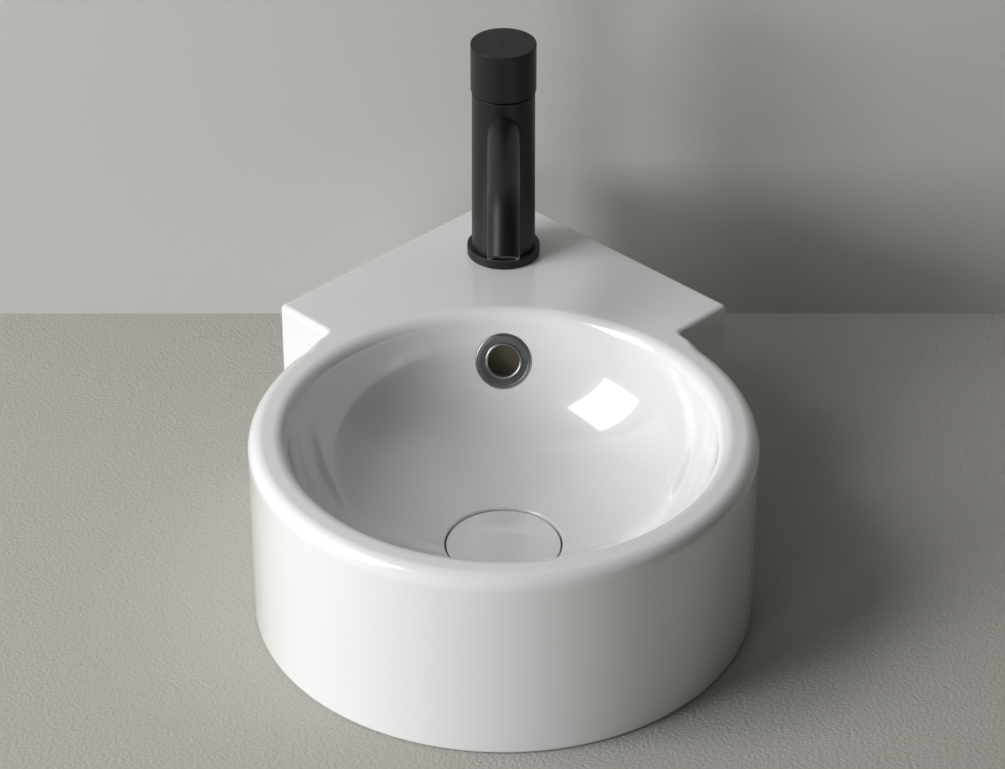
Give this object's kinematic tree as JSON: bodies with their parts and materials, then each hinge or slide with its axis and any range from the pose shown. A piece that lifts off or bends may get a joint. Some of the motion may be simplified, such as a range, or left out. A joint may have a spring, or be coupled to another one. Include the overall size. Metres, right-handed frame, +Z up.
{
  "type": "corner basin",
  "caption": "Round ceramic wash basin joined to a square corner block, with a black pillar tap on the deck, overflow ring and push-open waste.",
  "frame": {"origin": "on the standing surface, under the middle of the whole object's box", "axes": "+Z up; +Y from the round bowl towards the corner of the room; X across"},
  "size_m": [0.3, 0.424, 0.2714],
  "materials": {
    "glaze": "glossy white glaze",
    "disc_ceramic": "lapped",
    "tap_black": "matt black",
    "ring_metal": "bright",
    "waste_metal": "chromed",
    "waste_brass": "machined",
    "spring_steel": "drawn",
    "fixing_steel": "zinc plated",
    "waste_plastic": "moulded",
    "cartridge_plastic": "moulded",
    "aerator_plastic": "moulded",
    "seal_rubber": "matt"
  },
  "bodies": {
    "basin": {"basin_body": "glaze", "overflow_ring": "ring_metal", "waste_body": "waste_metal", "waste_tail": "waste_metal", "waste_upper_seal": "seal_rubber", "waste_lower_seal": "seal_rubber", "latch_sleeve": "waste_plastic", "tap_gasket": "seal_rubber", "tap_base_ring": "tap_black", "tap_body": "tap_black", "fixing_stud": "waste_brass", "horseshoe_rubber": "seal_rubber", "horseshoe_plate": "fixing_steel", "fixing_nut": "waste_brass", "cartridge_seal": "seal_rubber", "cartridge_base": "cartridge_plastic", "fixed_disc": "disc_ceramic", "cartridge_housing": "cartridge_plastic", "cartridge_nut": "waste_brass", "spout": "tap_black", "spout_seal": "seal_rubber", "aerator_washer": "seal_rubber", "aerator_housing": "tap_black", "aerator_insert": "aerator_plastic"},
    "knob": {"control_knob": "tap_black", "knob_adapter": "cartridge_plastic", "grub_screw": "spring_steel", "cartridge_stem": "waste_brass", "moving_disc": "disc_ceramic"},
    "plug": {"waste_cap": "glaze", "plug_plate": "waste_plastic", "plug_seal": "seal_rubber", "plug_rod": "waste_brass", "plug_spring": "spring_steel"}
  },
  "joints": [
    {"name": "knob_turn", "type": "hinge", "parent": "basin", "child": "knob", "pos_m": [0, 0.13794, 0.256], "axis": [0, 0, 1], "range_deg": [0, 105]},
    {"name": "plug_slide", "type": "slide", "parent": "basin", "child": "plug", "axis": [0, 0, 1], "range_m": [-0.002, 0.0075], "deforming": ["plug_spring"]}
  ]
}
